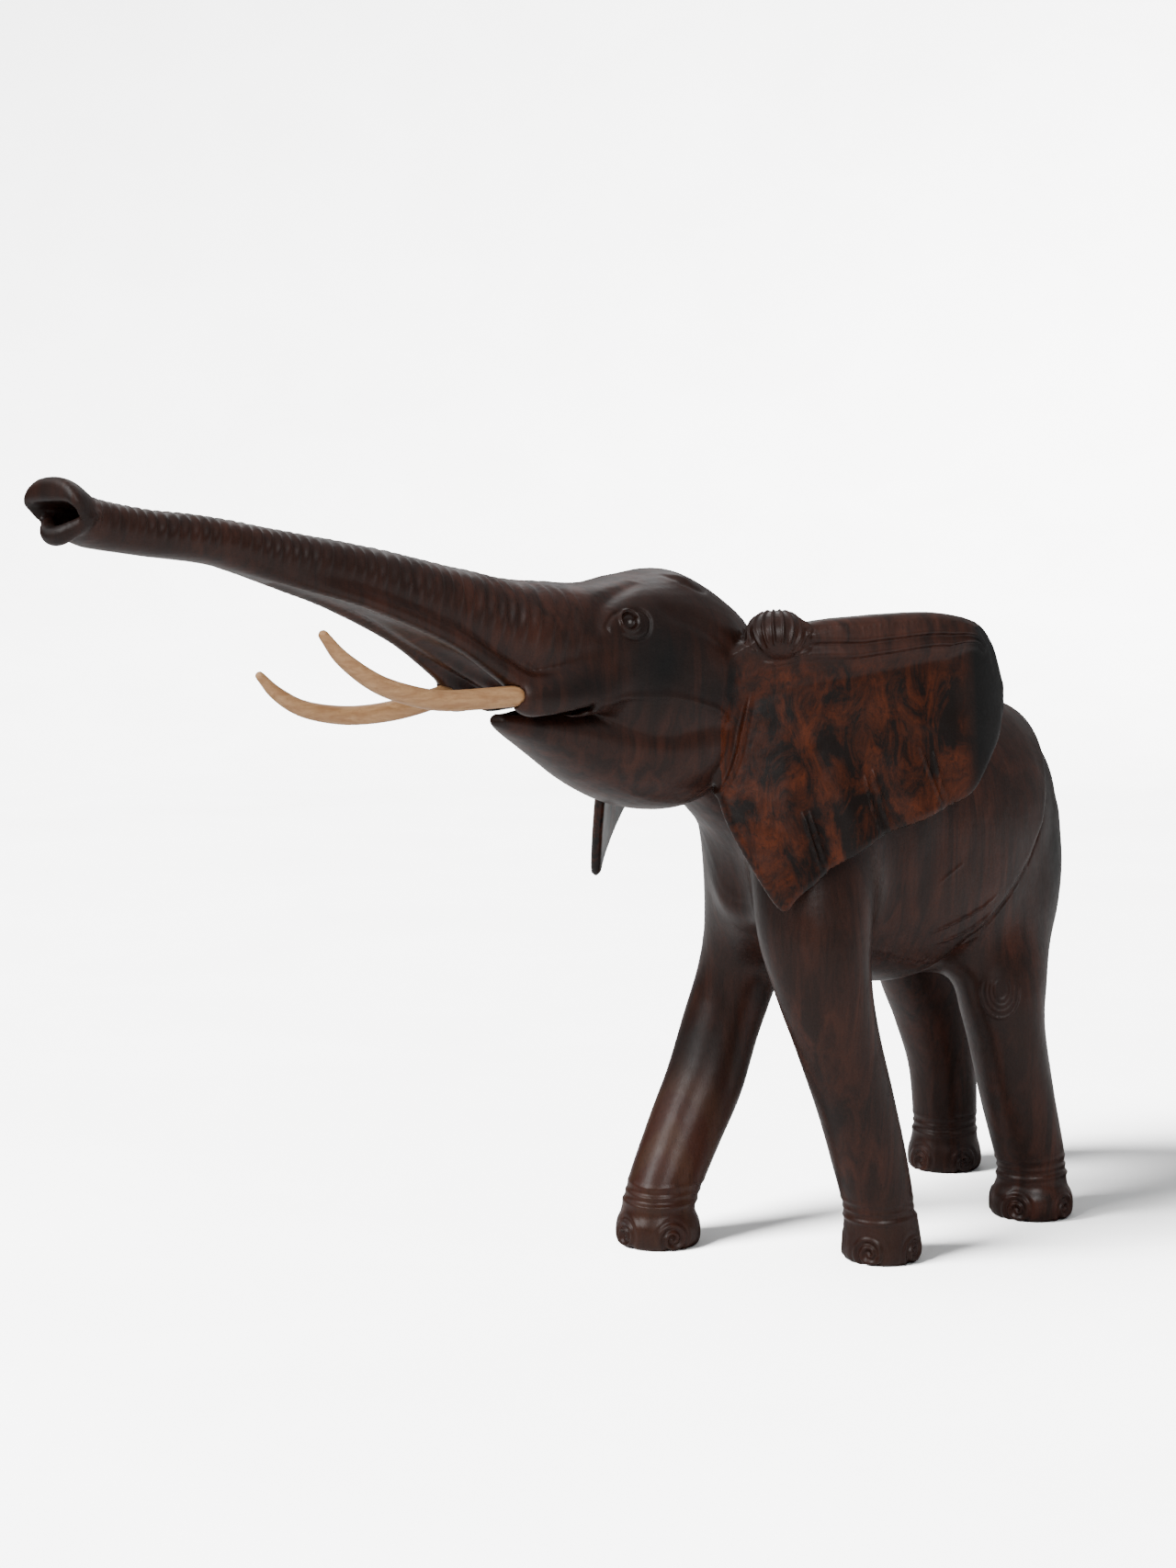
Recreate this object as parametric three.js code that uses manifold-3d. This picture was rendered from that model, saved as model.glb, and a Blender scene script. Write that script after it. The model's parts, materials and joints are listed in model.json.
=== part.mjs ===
// Carved wooden elephant, walking with its trunk raised: one block of dark wood
// (body, head, trunk, ears, legs and tail) and two pale wooden tusks that push
// into bored sockets beside the trunk.
//
// Millimetres, +Z up. The elephant faces -Y and its left side is +X. The design
// stands on Z = 0 with Y = 0 midway between the front feet; at the end the whole
// group is moved so that the origin is at the bottom centre of its box.

import * as THREE from 'three';
import { mergeVertices } from 'three/addons/utils/BufferGeometryUtils.js';
import Module from 'manifold-3d';

// ---------------------------------------------------------------- dimensions

const STANCE = 62;             // leg centre line to the middle plane
const ANKLE = 23;              // ankle radius
const FOOT_HEIGHT = 30;
const TUSK_RADIUS = 5.8;
const TENON_RADIUS = 4.6;
const TENON_LENGTH = 26;
const SOCKET_CLEARANCE = 0.4;
const RECESS_LENGTH = 34;
const EAR_THICKNESS = 9;
const EAR_ROLL = 15;           // thickness of the ear along its rolled top edge
const EAR_TILT = 0.12;         // the ear leans outward as it comes down
const EAR_LEVEL = 331;         // height at which the ear's plan curve is drawn
const EAR_CURL = 7;            // the rim curls back by this much
const EAR_CURL_START = 0.86;  // fraction of the plan curve where the rim starts to curl
const EAR_CURL_LIMIT = 1.3;    // the curl stops growing just past the end of the plan curve
const EAR_EDGE_THINNING = 0.6; // the ear's outermost ring is this much of its full thickness
const FLANK_SQUARENESS = 2.9;  // superellipse power of the barrel's lower half
const RIGHT_EAR_RISE = 8;      // the right ear's lower edge hangs this much higher
const KNOB = [62, -68, 387];
const KNOB_SIZE = [18, 18, 15.5];

// Lofts: each station is [x, y, z, half width across X, half depth].

const TORSO = [
  [0, -16, 264, 26, 42],
  [0, -4, 262, 44, 62],
  [0, 26, 260, 64, 84],
  [0, 68, 260, 76, 95],
  [0, 125, 256.5, 81, 100],
  [0, 180, 255.5, 78, 94.5],
  [0, 218, 257, 66, 79],
  [0, 244, 254, 46, 58],
  [0, 259, 251, 20, 30],
];

const NECK = [
  [0, 60, 280, 60, 76],
  [0, 8, 302, 54, 62],
  [0, -42, 332, 49, 54],
  [0, -92, 354, 49, 50],
];

const HEAD = [
  [0, -48, 352, 34, 40],
  [0, -70, 356, 47, 52],
  [0, -95, 360, 53, 60],
  [0, -123, 366, 54, 63],
  [0, -150, 372, 51, 54],
  [0, -180, 380, 44, 40],
  [0, -205, 386, 36, 34],
];

const JAW = [
  [0, -78, 334, 38, 30],
  [0, -92, 328, 49, 38],
  [0, -108, 325, 53, 40],
  [0, -130, 324, 50, 36],
  [0, -155, 327, 41, 29],
  [0, -185, 334, 30, 20],
  [0, -210, 339, 21, 11],
  [0, -225, 342, 12, 6.5],
  [0, -233, 344, 6, 3.5],
];

const TRUNK = [
  [0, -150, 386, 40, 34],
  [0, -190, 388, 36, 33],
  [0, -230, 392, 32, 30],
  [0, -270, 404, 27, 25],
  [0, -310, 417, 23, 19],
  [0, -350, 427.5, 19, 15.5],
  [0, -390, 435, 16, 13.5],
  [0, -430, 443, 13.5, 12],
  [0, -470, 447, 12.5, 11.5],
  [0, -503, 451, 13.5, 12],
  [0, -519, 455, 18, 15],
  [0, -531, 457, 23, 17],
];

const NOSTRILS = [
  [0, -500, 452, 5, 4],
  [0, -515, 455, 11, 8],
  [0, -540, 458, 22, 13],
];

const TRUNK_CHANNEL = [
  [0, -222, 346, 12, 14],
  [0, -260, 366, 16, 15],
  [0, -300, 386, 15, 11],
  [0, -345, 403, 11, 8],
  [0, -390, 416, 6, 6],
];

// Ridge from each cheek, round the tusk's socket and out along the trunk.
const FLANGE = [
  [20, -140, 384, 10, 12],
  [27, -170, 377, 13, 14],
  [30, -198, 368, 12, 12],
  [28.5, -232, 362, 8.5, 8.5],
  [26, -254, 373, 6, 6],
  [23.5, -288, 392, 5, 5],
  [18, -338, 411, 4.5, 4.5],
  [11, -380, 423, 4, 4.5],
  [5, -420, 436, 4, 4],
];

const LIP = [
  [26, -140, 368, 8, 11],
  [32.5, -172, 362, 11, 13],
  [34, -198, 358, 11, 12],
  [33, -218, 356, 10, 11],
  [31, -232, 356, 9.5, 10],
  [30, -241, 357, 8, 8.5],
  [29.5, -246, 358, 5, 5.5],
];

const MOUTH = [
  [0, -178, 349, 8, 2],
  [0, -200, 350, 20, 4],
  [0, -225, 351.5, 20, 5],
  [0, -250, 352, 24, 7],
];

const FRONT_LEFT_LEG = [
  [STANCE, 35, 12, 22, 22],
  [STANCE, 31, 37, 22, 22],
  [STANCE, 22, 65, 23, 23],
  [STANCE, 8, 102, 24, 24],
  [STANCE, -10, 144, 26, 26],
  [60, -20, 176, 29, 30],
  [54, -21, 208, 33, 37],
  [46, -14, 242, 34, 42],
  [38, -6, 272, 30, 40],
];

const FRONT_RIGHT_LEG = [
  [-STANCE, -35, 12, 22, 22],
  [-STANCE, -33, 30, 22.5, 22.5],
  [-STANCE, -11, 68, 24, 24],
  [-STANCE, 8, 98, 25, 25],
  [-60, 21, 132, 25, 25],
  [-54, 30, 165, 25, 27],
  [-44, 33, 205, 26, 32],
  [-37, 34, 240, 28, 36],
  [-32, 32, 272, 28, 38],
];

const HIND_LEFT_LEG = [
  [STANCE, 192, 12, 22, 22],
  [STANCE, 191, 36, 22.5, 22.5],
  [STANCE, 175, 82, 24, 24],
  [STANCE, 162, 125, 25, 26],
  [59, 160, 155, 26, 35],
  [50, 170, 190, 25, 46],
  [42, 181, 230, 24, 56],
  [34, 186, 262, 22, 48],
];

const HIND_RIGHT_LEG = [
  [-STANCE, 260, 12, 22, 22],
  [-STANCE, 261, 37, 22.5, 22.5],
  [-STANCE, 257, 77, 24, 24],
  [-STANCE, 246, 115, 27, 29],
  [-59, 232, 150, 29, 38],
  [-51, 215, 190, 27, 48],
  [-43, 200, 230, 25, 54],
  [-34, 192, 262, 22, 46],
];

// Feet: [x, y, sole radius].
const FEET = [[STANCE, 35, 25], [-STANCE, -35, 27], [STANCE, 192, 27.5], [-STANCE, 261, 26]];

const TAIL = [
  [0, 232, 322, 9, 7],
  [0, 246, 310, 7.5, 6],
  [0, 257, 292, 6, 5],
  [1, 263, 262, 6, 5],
  [3, 261, 228, 5.5, 5],
  [5, 253, 200, 6, 6],
  [6, 240, 176, 5, 5],
  [6, 231, 164, 2, 2],
];

// Tusks: [x, y, z, radius] from the root to the tip.
const LEFT_TUSK = [
  [28, -238, 359, TUSK_RADIUS],
  [31, -269, 358.5, TUSK_RADIUS],
  [34, -305, 359, 5.6],
  [37, -334, 364, 5.3],
  [39, -357, 371.5, 4.9],
  [41, -379, 384, 4],
  [42, -392, 396, 2.6],
];

const RIGHT_TUSK = [
  [-28, -238, 359, TUSK_RADIUS],
  [-31, -267, 352, TUSK_RADIUS],
  [-34, -291, 348.5, 5.5],
  [-37, -315, 348.5, 5.2],
  [-39, -339, 353, 4.6],
  [-41, -355, 361.5, 3.8],
  [-42, -366, 371.5, 2.4],
];

// Ear outline as [fraction of the plan curve, height]. The plan curve runs from
// the back of the cheek out and back to the ear's rim.
const EAR_PLAN = new THREE.QuadraticBezierCurve(
  new THREE.Vector2(47, -96), new THREE.Vector2(97, -40), new THREE.Vector2(130, 58));

const EAR_TOP = [
  [0.03, 372], [0.12, 386], [0.32, 396], [0.49, 399], [0.7, 401], [0.81, 400], [0.926, 395], [0.995, 386],
  [1.04, 373], [1.062, 356],
];

const EAR_BOTTOM = [
  [-0.01, 300], [0.01, 279], [0.1, 252], [0.205, 230], [0.275, 238], [0.39, 250], [0.525, 264],
  [0.68, 276], [0.85, 287], [0.951, 306], [1.027, 324], [1.058, 342],
];

// ------------------------------------------------------------------ geometry

function closedGeometry(geometry) {
  geometry.deleteAttribute('normal');
  geometry.deleteAttribute('uv');
  return mergeVertices(geometry, 1e-3);
}

function moveVertices(geometry, place) {
  const position = geometry.attributes.position;
  const point = new THREE.Vector3();
  for (let i = 0; i < position.count; i += 1) {
    point.fromBufferAttribute(position, i);
    place(point);
    position.setXYZ(i, point.x, point.y, point.z);
  }
  return closedGeometry(geometry);
}

// An elliptical section carried along a smooth curve through the stations. The
// squareness is the superellipse power of the section's lower half.
function loft(stations, sides, steps, squareness = 2) {
  const path = new THREE.CatmullRomCurve3(stations.map(([x, y, z]) => new THREE.Vector3(x, y, z)));
  const size = new THREE.CatmullRomCurve3(stations.map(([, , , a, b]) => new THREE.Vector3(a, b ?? a, 0)));
  const acrossReference = new THREE.Vector3(1, 0, 0);
  const geometry = new THREE.CylinderGeometry(1, 1, 1, sides, steps);
  return moveVertices(geometry, (point) => {
    const t = point.y + 0.5;
    if (point.z < 0) {
      point.x = Math.sign(point.x) * Math.abs(point.x) ** (2 / squareness);
      point.z = -(Math.abs(point.z) ** (2 / squareness));
    }
    const along = path.getTangent(t);
    const across = acrossReference.clone().addScaledVector(along, -along.x).normalize();
    const depth = across.clone().cross(along);
    const half = size.getPoint(t);
    const centre = path.getPoint(t);
    point.set(
      centre.x + point.x * half.x * across.x + point.z * half.y * depth.x,
      centre.y + point.x * half.x * across.y + point.z * half.y * depth.y,
      centre.z + point.x * half.x * across.z + point.z * half.y * depth.z);
  });
}

function foot([x, y, sole]) {
  const profile = [
    [0, 0], [sole - 1, 0], [sole + 1, 5], [sole, 14], [ANKLE, 24], [ANKLE, FOOT_HEIGHT], [0, FOOT_HEIGHT],
  ];
  const geometry = new THREE.LatheGeometry(profile.map(([r, h]) => new THREE.Vector2(r, h)), 20);
  geometry.rotateX(Math.PI / 2);
  geometry.translate(x, y, 0);
  return closedGeometry(geometry);
}

function ellipsoid([x, y, z], [sizeX, sizeY, sizeZ], sides) {
  const geometry = new THREE.SphereGeometry(1, sides, sides / 2);
  geometry.scale(sizeX, sizeY, sizeZ);
  geometry.translate(x, y, z);
  return closedGeometry(geometry);
}

// A bent plate between the two outlines, thickest along its top edge.
function ear(side, bottomRise) {
  const columns = 16;
  const rows = 6;
  const top = new THREE.SplineCurve(EAR_TOP.map(([u, z]) => new THREE.Vector2(u, z)));
  const bottom = new THREE.SplineCurve(EAR_BOTTOM.map(([u, z]) => new THREE.Vector2(u, z)));
  const geometry = new THREE.BoxGeometry(2, 2, 2, columns, rows, 2);
  return moveVertices(geometry, (point) => {
    const t = (point.x + 1) / 2;
    const rise = (point.y + 1) / 2;
    const outline = bottom.getPoint(t).lerp(top.getPoint(t), rise);
    outline.y += bottomRise * (1 - rise);
    const along = EAR_PLAN.getPoint(outline.x);
    const direction = EAR_PLAN.getTangent(Math.min(outline.x, 1));
    const rolled = rise ** 4 * (1 - t ** 6);
    const edge = Math.max(point.x, Math.abs(point.y));
    const thinning = edge > 0.99 ? EAR_EDGE_THINNING : 1;
    const thickness = THREE.MathUtils.lerp(EAR_THICKNESS, EAR_ROLL, rolled) * thinning;
    const curled = Math.max(outline.x - EAR_CURL_START, 0) / (1 - EAR_CURL_START);
    const middle = EAR_TILT * (EAR_LEVEL - outline.y) - EAR_CURL * Math.min(curled, EAR_CURL_LIMIT) ** 2;
    const offset = middle + side * point.z * thickness / 2;
    point.set(side * (along.x + direction.y * offset), along.y - direction.x * offset, outline.y);
  });
}

// -------------------------------------------------------- joining and cutting

const wasm = await Module();
wasm.setup();

function solid(geometry) {
  return new wasm.Manifold(new wasm.Mesh({
    numProp: 3,
    vertProperties: new Float32Array(geometry.attributes.position.array),
    triVerts: new Uint32Array(geometry.index.array),
  }));
}

function toGeometry(manifold) {
  const mesh = manifold.getMesh();
  const geometry = new THREE.BufferGeometry();
  geometry.setAttribute('position', new THREE.BufferAttribute(new Float32Array(mesh.vertProperties), 3));
  geometry.setIndex(new THREE.BufferAttribute(new Uint32Array(mesh.triVerts), 1));
  return geometry;
}

function mirrored(stations) {
  return stations.map(([x, ...rest]) => [-x, ...rest]);
}

// A straight peg on the axis of a tusk's root, between two distances measured
// inward from the root's shoulder.
function rootPeg(stations, from, to, radius) {
  const root = new THREE.Vector3(...stations[0].slice(0, 3));
  const inward = root.clone().sub(new THREE.Vector3(...stations[1].slice(0, 3))).normalize();
  const ends = [from, to].map((distance) => root.clone().addScaledVector(inward, distance));
  return loft(ends.map(({ x, y, z }) => [x, y, z, radius, radius]), 16, 1);
}

function tusk(stations) {
  return solid(loft(stations, 16, 26)).add(solid(rootPeg(stations, -1, TENON_LENGTH, TENON_RADIUS)));
}

// The bore for the tenon, and the wider recess that the tusk's shoulder sits in.
function socketCuts(stations) {
  return [
    rootPeg(stations, -1, TENON_LENGTH + SOCKET_CLEARANCE, TENON_RADIUS + SOCKET_CLEARANCE),
    rootPeg(stations, -RECESS_LENGTH, SOCKET_CLEARANCE, TUSK_RADIUS + SOCKET_CLEARANCE),
  ];
}

function carvedBody() {
  const parts = [
    loft(TORSO, 28, 16, FLANK_SQUARENESS),
    loft(NECK, 24, 8),
    loft(HEAD, 24, 12),
    loft(JAW, 20, 12),
    loft(TRUNK, 16, 28),
    loft(FLANGE, 8, 18),
    loft(mirrored(FLANGE), 8, 18),
    loft(LIP, 10, 9),
    loft(mirrored(LIP), 10, 9),
    loft(FRONT_LEFT_LEG, 16, 12),
    loft(FRONT_RIGHT_LEG, 16, 12),
    loft(HIND_LEFT_LEG, 16, 12),
    loft(HIND_RIGHT_LEG, 16, 12),
    loft(TAIL, 8, 10),
    ear(1, 0),
    ear(-1, RIGHT_EAR_RISE),
    ellipsoid(KNOB, KNOB_SIZE, 16),
    ellipsoid([-KNOB[0], KNOB[1], KNOB[2]], KNOB_SIZE, 16),
    ...FEET.map(foot),
  ];
  const cuts = [
    loft(TRUNK_CHANNEL, 10, 10),
    loft(NOSTRILS, 16, 6),
    loft(MOUTH, 14, 6),
    ...socketCuts(LEFT_TUSK),
    ...socketCuts(RIGHT_TUSK),
  ];
  const joined = parts.map(solid).reduce((body, part) => body.add(part));
  return cuts.map(solid).reduce((body, cut) => body.subtract(cut), joined);
}

// --------------------------------------------------------------------- scene

function piece(name, manifold, material) {
  const mesh = new THREE.Mesh(toGeometry(manifold), material);
  mesh.name = name;
  return mesh;
}

const darkWood = new THREE.MeshStandardMaterial({ color: 0x35211b, roughness: 0.38, metalness: 0 });
const leftTuskWood = new THREE.MeshStandardMaterial({ color: 0xc08a55, roughness: 0.5, metalness: 0 });
const rightTuskWood = new THREE.MeshStandardMaterial({ color: 0xc08a55, roughness: 0.5, metalness: 0 });

const elephant = new THREE.Group();
elephant.add(piece('carved_body', carvedBody(), darkWood));
elephant.add(piece('left_tusk', tusk(LEFT_TUSK), leftTuskWood));
elephant.add(piece('right_tusk', tusk(RIGHT_TUSK), rightTuskWood));

const box = new THREE.Box3().setFromObject(elephant);
elephant.position.set(-(box.min.x + box.max.x) / 2, -(box.min.y + box.max.y) / 2, -box.min.z);

export default elephant;
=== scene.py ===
"""Carved wooden elephant: high-detail carving, tusks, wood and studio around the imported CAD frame.

The carving is shaped like the CAD solid, in millimetres in the elephant's design frame (it faces -Y,
its left is +X, Z = 0 is the floor and Y = 0 is midway between the front feet), as a distance field in
which swept solids are blended together. The field becomes one mesh, the carved detail is cut into it,
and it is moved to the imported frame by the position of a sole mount.
"""

import json
import math

import bmesh
import bpy
import numpy as np
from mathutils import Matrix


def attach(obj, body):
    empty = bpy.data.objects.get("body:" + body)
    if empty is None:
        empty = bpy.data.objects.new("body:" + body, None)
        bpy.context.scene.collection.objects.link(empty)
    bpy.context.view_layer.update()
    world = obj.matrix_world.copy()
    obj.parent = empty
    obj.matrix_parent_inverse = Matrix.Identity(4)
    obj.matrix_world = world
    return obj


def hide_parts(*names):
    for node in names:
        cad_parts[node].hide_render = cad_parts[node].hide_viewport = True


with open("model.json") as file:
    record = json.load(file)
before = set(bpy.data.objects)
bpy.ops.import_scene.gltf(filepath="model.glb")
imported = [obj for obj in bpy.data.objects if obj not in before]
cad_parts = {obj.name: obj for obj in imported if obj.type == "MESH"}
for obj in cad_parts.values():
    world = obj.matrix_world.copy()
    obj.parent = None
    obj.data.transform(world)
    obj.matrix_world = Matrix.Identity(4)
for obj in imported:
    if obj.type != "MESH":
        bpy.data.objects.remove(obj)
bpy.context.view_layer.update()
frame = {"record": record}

import openvdb
from mathutils import Vector
from mathutils.kdtree import KDTree

MM = 0.001
VOXEL = 1.7
FAR = 60.0
SIDES = (1, -1)

# --- the shape
# Lofts: each station is [x, y, z, half width across X, half depth], in millimetres.

FLANK_SQUARENESS = 2.9

# The barrel's rear rim: [y, height], where it stands proud of the haunches behind and below it.
CREST = [
    [-60, 130], [20, 140], [60, 152], [88, 170], [102, 187], [120, 197], [148, 224], [165, 242],
    [178, 259], [190, 284], [222, 332], [245, 372], [275, 440],
]
CREST_SLOPE = 0.75
CREST_DEPTH = 7.0

BARREL = [
    [0, -16, 264, 26, 42], [0, -4, 262, 44, 62], [0, 26, 260, 64, 84], [0, 68, 260, 76, 95],
    [0, 125, 256.5, 81, 100], [0, 180, 255.5, 78, 94.5], [0, 218, 257, 66, 79], [0, 244, 254, 46, 58],
    [0, 259, 251, 20, 30],
]
NECK = [[0, 60, 280, 60, 76], [0, 8, 302, 54, 62], [0, -42, 332, 49, 54], [0, -92, 354, 49, 50]]
HEAD_AND_TRUNK = [
    [0, -48, 352, 34, 40], [0, -70, 356, 47, 52], [0, -95, 360, 54, 60], [0, -123, 366, 54, 63],
    [0, -150, 374, 50, 52], [0, -180, 383, 43, 37], [0, -210, 387, 37, 34], [0, -240, 394, 31.5, 29],
    [0, -272, 404.5, 27, 24.5], [0, -310, 417, 23, 19], [0, -350, 427.5, 19, 15.5], [0, -390, 435, 16, 13.5],
    [0, -430, 443, 13.5, 12], [0, -470, 447, 12.5, 11.5], [0, -498, 451, 13.2, 12], [0, -508, 453, 15, 12.5],
    [0, -515, 455, 18, 14.5], [0, -521, 456.5, 21.5, 16.5], [0, -527, 457.5, 24, 17], [0, -534, 458, 25, 17],
]
TRUNK_END = -527
TRUNK_SLANT_TOP = 461
TRUNK_SLANT = 0.8
JAW = [
    [0, -78, 334, 38, 30], [0, -92, 328, 49, 38], [0, -108, 325, 53, 40], [0, -130, 324, 50, 36],
    [0, -155, 327, 41, 29], [0, -185, 334, 30, 20], [0, -210, 339, 21, 11], [0, -225, 342, 12, 6.5],
    [0, -233, 344, 6, 3.5],
]
TRUNK_CHANNEL = [
    [0, -222, 346, 12, 14], [0, -260, 366, 16, 15], [0, -300, 386, 15, 11], [0, -345, 403, 11, 8],
    [0, -390, 416, 6, 6],
]
FLANGE = [
    [20, -140, 384, 10, 12], [27, -170, 377, 13, 14], [30, -198, 368, 12, 12], [28.5, -232, 362, 8.5, 8.5],
    [26, -254, 373, 6, 6], [23.5, -288, 392, 5, 5], [18, -338, 411, 4.5, 4.5], [11, -380, 423, 4, 4.5],
    [5, -420, 436, 4, 4],
]
LIP = [
    [26, -140, 368, 8, 11], [32.5, -172, 362, 11, 13], [34, -198, 358, 11, 12], [33, -218, 356, 10, 11],
    [31, -232, 356, 9.5, 10], [30, -241, 357, 8, 8.5], [29.5, -246, 358, 5, 5.5],
]
MOUTH = [[0, -178, 349, 8, 2], [0, -200, 350, 20, 4], [0, -225, 351.5, 20, 5], [0, -250, 352, 24, 7]]
MOUTH_SLIT = [
    [33, -197, 351.5, 14, 1.6], [33, -204, 350, 15, 1.9], [33, -217, 347.5, 15, 2.0],
    [33, -235, 344.5, 15, 2.2], [33, -252, 342, 15, 2.6],
]
LOWER_LIP_SCOOP = [
    [0, -194, 349, 10, 4], [0, -208, 348.5, 13, 5.5], [0, -220, 348.5, 9.5, 4.5], [0, -230, 349.5, 5, 3],
]
NOSTRIL = [
    [0, -496, 452, 6, 2.5], [0, -508, 453.5, 11.5, 5], [0, -515, 454.5, 14.5, 6.5], [0, -521, 455, 17.5, 7],
    [0, -527, 455, 20.5, 7], [0, -545, 455, 22, 7],
]
NOSTRIL_LIP = [
    [11, -503, 456, 2, 2], [16, -513, 454.5, 2.8, 2.8], [12.5, -517.5, 450.5, 4, 4],
    [6.5, -521, 447, 4.8, 4.8], [0, -522, 445.5, 5, 5], [-6.5, -521, 447, 4.8, 4.8],
    [-12.5, -517.5, 450.5, 4, 4], [-16, -513, 454.5, 2.8, 2.8], [-11, -503, 456, 2, 2],
]
FRONT_LEFT_LEG = [
    [62, 35, 12, 22, 22], [62, 31, 37, 22, 22], [62, 22, 65, 23, 23], [62, 8, 102, 24, 24],
    [62, -10, 144, 26, 26], [60, -20, 176, 29, 30], [54, -21, 208, 33, 37], [46, -14, 242, 34, 42],
    [38, -6, 272, 30, 40],
]
FRONT_RIGHT_LEG = [
    [-62, -35, 12, 22, 22], [-62, -33, 30, 22.5, 22.5], [-62, -11, 68, 24, 24], [-62, 8, 98, 25, 25],
    [-60, 21, 132, 25, 25], [-54, 30, 165, 25, 27], [-44, 33, 205, 26, 32], [-37, 34, 240, 28, 36],
    [-32, 32, 272, 28, 38],
]
HIND_LEFT_LEG = [
    [62, 192, 12, 22, 22], [62, 191, 36, 22.5, 22.5], [62, 175, 82, 24, 24], [62, 162, 125, 25, 26],
    [59, 160, 155, 26, 35], [50, 170, 190, 25, 46], [42, 181, 230, 24, 56], [34, 186, 262, 22, 48],
]
HIND_RIGHT_LEG = [
    [-62, 260, 12, 22, 22], [-62, 261, 37, 22.5, 22.5], [-62, 257, 77, 24, 24], [-62, 246, 115, 27, 29],
    [-59, 232, 150, 29, 38], [-51, 215, 190, 27, 48], [-43, 200, 230, 25, 54], [-34, 192, 262, 22, 46],
]
TAIL = [
    [0, 232, 322, 9, 7], [0, 246, 310, 7.5, 6], [0, 257, 292, 6, 5], [1, 263, 262, 6, 5],
    [3, 261, 228, 5.5, 5], [5, 253, 200, 6, 6], [6, 240, 176, 5, 5], [6, 231, 164, 2, 2],
]

# Feet: [x, y, sole radius, heading of the toes in degrees from -Y towards +X], front left first.
FEET = [(62, 35, 25, 20), (-62, -35, 27, -12), (62, 192, 27.5, 15), (-62, 261, 26, -5)]
ANKLE = 23

# Tusks: [x, y, z, radius] from the root to the tip.
LEFT_TUSK = [
    [28, -238, 359, 5.8], [31, -269, 358.5, 5.8], [34, -305, 359, 5.6], [37, -334, 364, 5.3],
    [39, -357, 371.5, 4.9], [41, -379, 384, 4], [42, -392, 396, 2.6],
]
RIGHT_TUSK = [
    [-28, -238, 359, 5.8], [-31, -267, 352, 5.8], [-34, -291, 348.5, 5.5], [-37, -315, 348.5, 5.2],
    [-39, -339, 353, 4.6], [-41, -355, 361.5, 3.8], [-42, -366, 371.5, 2.4],
]
TUSK_RINGS = 60
TUSK_SIDES = 40
TUSK_END_TURNS = (20, 40, 58, 72, 84)
TENON_RADIUS = 4.6
TENON_LENGTH = 26
SOCKET_CLEARANCE = 0.4
TENON_RINGS = (TENON_LENGTH, 20, 12, 4, SOCKET_CLEARANCE)
RECESS_LENGTH = 34

# Ears: a plan curve (quadratic Bezier, in X and Y) with an outline of [fraction along it, height].
EAR_PLAN = np.array([[47, -96], [97, -40], [130, 58]], float)
EAR_TILT = 0.12
EAR_LEVEL = 331
EAR_BACK = 3.6
EAR_FRONT = 3.2
EAR_CURL = 7.0
EAR_CURL_START = 0.86
EAR_CURL_LIMIT = 1.3
EAR_REACH = 0.26
EAR_REACH_START = 0.8
EAR_REGION = ((30, -125, 215), (150, 90, 420))
EAR_EDGE_ROUNDING = 5.0

# The rolled upper edge: its height along the ear, and across it the ridges' places and heights.
EAR_ROLL_HEIGHT = ([0, 0.31, 0.48, 0.64, 0.82, 0.93, 1.0], [30, 31, 30, 27.6, 23, 12, 8])
EAR_ROLL_FADE = 0.13
ROLL_KNOTS = [0, 0.2, 0.47, 0.57, 0.75, 0.87, 1.02, 1.2]
ROLL_KNOTS_AT_KNOB = [0, 0.1, 0.23, 0.42, 0.58, 0.75, 1.02, 1.2]
ROLL_HEIGHTS = [5.0, 8.5, 6.5, 6.0, 4.8, 4.5, 0.8, 0]
ROLL_CARVING = [0.2, 0.8, -2.2, 0.6, -1.8, 1.0, -0.6, 0]

# The hanging folds of the ear's lower part.
FOLD_LEVEL = 268
FOLD_LEAN = 0.0021
FOLD_START = 0.36
FOLD_SPACING = 0.25
FOLD_DEPTH = 4.0
RIGHT_EAR_RISE = 8
EAR_TOP = [
    [-0.08, 350], [0.0, 376], [0.12, 388], [0.32, 396], [0.49, 399], [0.7, 401], [0.81, 400], [0.9, 395],
    [0.955, 386], [0.99, 373], [1.008, 356],
]
EAR_BOTTOM = [
    [-0.08, 322], [-0.04, 300], [0.005, 279], [0.1, 252], [0.205, 228], [0.275, 237], [0.39, 250],
    [0.525, 264], [0.68, 276], [0.84, 287], [0.92, 306], [0.98, 324], [1.005, 342],
]
KNOB = (62, -68, 387)
KNOB_SIZE = (18, 18, 15.5)

# --- curves


def spline(rows, count):
    """Rows of numbers carried smoothly through the given rows (Catmull-Rom)."""
    rows = np.asarray(rows, float)
    padded = np.vstack([2 * rows[0] - rows[1], rows, 2 * rows[-1] - rows[-2]])
    t = np.linspace(0, len(rows) - 1, count)
    i = np.minimum(t.astype(int), len(rows) - 2)
    f = (t - i)[:, None]
    a, b, c, d = padded[i], padded[i + 1], padded[i + 2], padded[i + 3]
    return 0.5 * (2 * b + (c - a) * f + (2 * a - 5 * b + 4 * c - d) * f**2 + (3 * b - a - 3 * c + d) * f**3)


def norms(vectors):
    return np.linalg.norm(vectors, axis=-1)


def unit(vectors):
    return vectors / norms(vectors)[..., None]


def gaps(points):
    """The distances from each point to the next."""
    return norms(np.diff(points, axis=0))


def clamp(value):
    return np.clip(value, 0, 1)


def inside(points, low, high):
    return ((points > low) & (points < high)).all(1)


def on_side(places, side):
    """The left side's place or places, carried over to the given side."""
    return np.array(places) * [side, 1, 1]


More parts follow.
